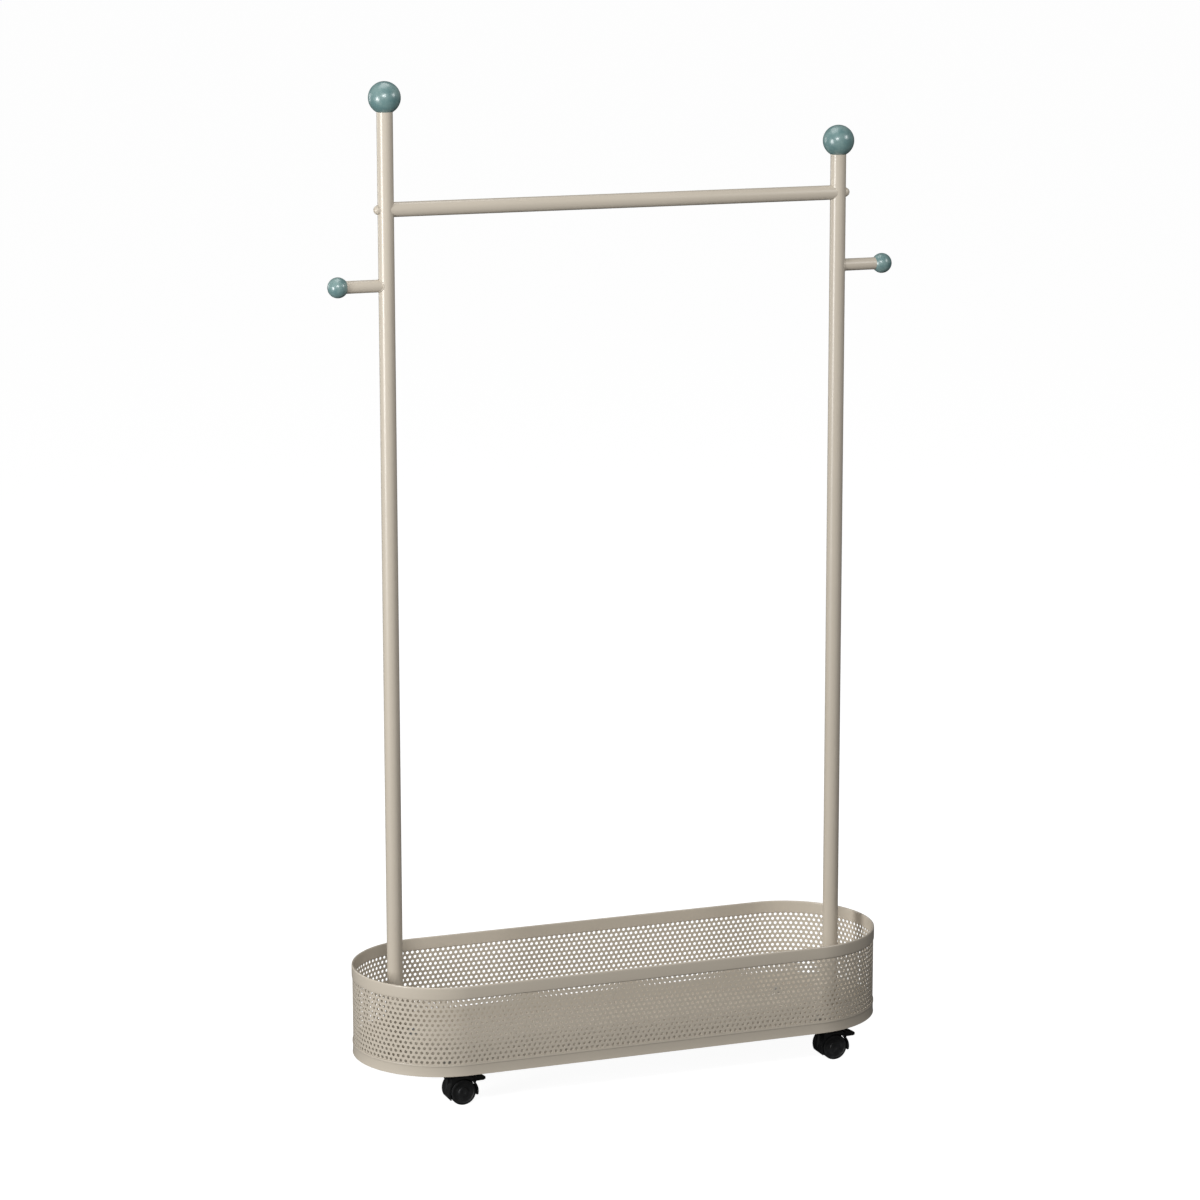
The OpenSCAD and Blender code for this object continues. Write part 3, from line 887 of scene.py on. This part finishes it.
class RACK_OT_stage(bpy.types.Operator):
    """Sets up the floor, the lights, the sky and the camera"""
    bl_idname = "rack.stage"
    bl_label = "Stage"

    def execute(self, context):
        stage = context.scene.rack_stage
        self.add_floor()
        # Name, place, size and share of the power
        lamps = (
            ("key", (-3.76, -1.36, 1.15), (1.0, 1.4), 0.96),
            ("front", (-1.25, -2.50, 2.45), (1.0, 0.5), 0.41),
            ("right", (1.70, -1.55, 2.35), (0.6, 0.6), 0.15),
            ("rim", (-2.60, 2.90, 1.50), (0.8, 1.5), 0.14),
            ("top", (-0.30, 0.30, 3.20), (1.6, 1.2), 0.14),
        )
        for name, place, size, share in lamps:
            self.add_light(name, place, size, share * stage.lamp_power)
        self.add_sky(context.scene, stage.sky)
        camera = bpy.data.objects.new("Camera", bpy.data.cameras.new("Camera"))
        camera.data.lens = stage.lens
        camera.data.sensor_width = 36
        camera.data.clip_end = 200
        camera.location = stage.eye
        camera.rotation_euler = stage.aim
        context.scene.collection.objects.link(camera)
        context.scene.camera = camera
        context.scene.view_settings.view_transform = "Standard"
        return {"FINISHED"}

    def add_floor(self):
        """A floor that looks nearly white but throws little light back up at the rack."""
        mesh = bpy.data.meshes.new("floor")
        turns = ((-1, -1), (1, -1), (1, 1), (-1, 1))
        corners = [(x * FLOOR_REACH, y * FLOOR_REACH, 0) for x, y in turns]
        mesh.from_pydata(corners, [], [(0, 1, 2, 3)])
        floor = bpy.data.objects.new("floor", mesh)
        bpy.context.scene.collection.objects.link(floor)
        made, graph, _ = shader("floor_pale")
        seen = graph.node("ShaderNodeLightPath")[0]
        matt = graph.node("ShaderNodeBsdfDiffuse", {}, {"Color": (0.12, 0.12, 0.12, 1)})[0]
        pale = graph.node("ShaderNodeBsdfDiffuse", {}, {"Color": (0.3, 0.3, 0.3, 1)})[0]
        glow = graph.node("ShaderNodeEmission", {}, {"Color": (1, 1, 1, 1), "Strength": 0.95})[0]
        shown = graph.node("ShaderNodeAddShader", {}, {0: pale, 1: glow})[0]
        both = graph.node("ShaderNodeMixShader", {}, {0: seen, 1: matt, 2: shown})[0]
        graph.node("ShaderNodeOutputMaterial", {}, {"Surface": both})
        mesh.materials.append(made)

    def add_light(self, name, place, size, power):
        lamp = bpy.data.lights.new(name, "AREA")
        lamp.shape = "RECTANGLE"
        lamp.size, lamp.size_y = size
        lamp.energy = power
        light = bpy.data.objects.new(name, lamp)
        light.location = place
        away = Vector(place) - Vector(LAMP_AIM)
        light.rotation_euler = away.to_track_quat("Z", "Y").to_euler()
        bpy.context.scene.collection.objects.link(light)

    def add_sky(self, scene, strength):
        """An even sky that looks white and lights the rack at the given strength."""
        world = bpy.data.worlds.new("sky")
        world.use_nodes = True
        scene.world = world
        graph = Graph(world.node_tree)
        seen = graph.node("ShaderNodeLightPath")[0]
        level = strength + seen * (1 - strength)
        sky = graph.node("ShaderNodeBackground", {}, {"Color": (1, 1, 1, 1), "Strength": level})[0]
        graph.node("ShaderNodeOutputWorld", {}, {"Surface": sky})


class RACK_PT_panel(bpy.types.Panel):
    """Lists the steps that build the rack"""
    bl_idname = "RACK_PT_panel"
    bl_label = "Garment rack"
    bl_space_type = "VIEW_3D"
    bl_region_type = "UI"
    bl_category = "Rack"

    def draw(self, context):
        for step in STEPS:
            self.layout.operator(step.bl_idname)


STEPS = (
    RACK_OT_finishes, RACK_OT_perforated_wall, RACK_OT_bands, RACK_OT_tubes, RACK_OT_balls,
    RACK_OT_fasteners, RACK_OT_casters, RACK_OT_stage)
SETTINGS = {
    "rack_finishes": RackFinishes,
    "rack_basket": RackBasket,
    "rack_mouldings": RackMouldings,
    "rack_stage": RackStage,
}


def register():
    for group in (*SETTINGS.values(), *STEPS, RACK_PT_panel):
        bpy.utils.register_class(group)
    for name, group in SETTINGS.items():
        setattr(bpy.types.Scene, name, bpy.props.PointerProperty(type=group))


def unregister():
    for name in SETTINGS:
        delattr(bpy.types.Scene, name)
    for group in (RACK_PT_panel, *STEPS, *SETTINGS.values()):
        bpy.utils.unregister_class(group)


def main():
    register()
    bpy.ops.rack.finishes()
    bpy.ops.rack.perforated_wall()
    bpy.ops.rack.bands()
    bpy.ops.rack.tubes()
    bpy.ops.rack.balls()
    bpy.ops.rack.fasteners()
    bpy.ops.rack.casters()
    bpy.ops.rack.stage()


if __name__ == "__main__":
    main()
